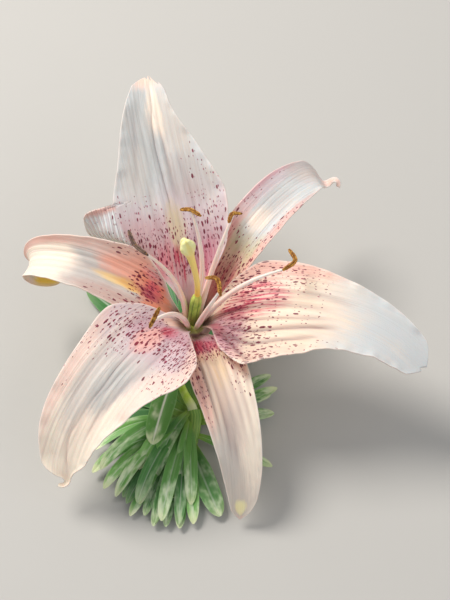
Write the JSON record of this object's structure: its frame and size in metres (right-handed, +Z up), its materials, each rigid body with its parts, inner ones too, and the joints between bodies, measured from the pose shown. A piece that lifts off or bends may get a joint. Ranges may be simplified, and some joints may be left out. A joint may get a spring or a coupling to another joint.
{
  "type": "lily",
  "caption": "Cut lily laid on a surface: one open cream and pale pink bloom with a speckled magenta throat, on a short leafy stem.",
  "frame": {"origin": "on the surface that the flower lies on, under the middle of its outline seen from above", "axes": "+X to the right of the bloom, +Y away from the cut end of the stem, +Z up, out of the open bloom"},
  "size_m": [0.1526, 0.1568, 0.0752],
  "materials": {
    "tepal": "satin, moist petal",
    "filament": "satin",
    "anther": "matt with pollen",
    "ovary": "satin",
    "style": "moist sheen",
    "pedicel": "satin",
    "leaf": "satin, lightly waxy"
  },
  "bodies": {
    "root": {"tepal_upper_right": "tepal", "tepal_bottom": "tepal", "tepal_left": "tepal", "tepal_top": "tepal", "tepal_lower_left": "tepal", "tepal_right": "tepal", "filament_upper": "filament", "anther_upper": "anther", "filament_upper_right": "filament", "anther_upper_right": "anther", "filament_right": "filament", "anther_right": "anther", "filament_lower_right": "filament", "anther_lower_right": "anther", "filament_lower_left": "filament", "anther_lower_left": "anther", "filament_left": "filament", "anther_left": "anther", "ovary": "ovary", "style_and_stigma": "style", "pedicel": "pedicel", "leafy_stem": "leaf"}
  },
  "joints": []
}
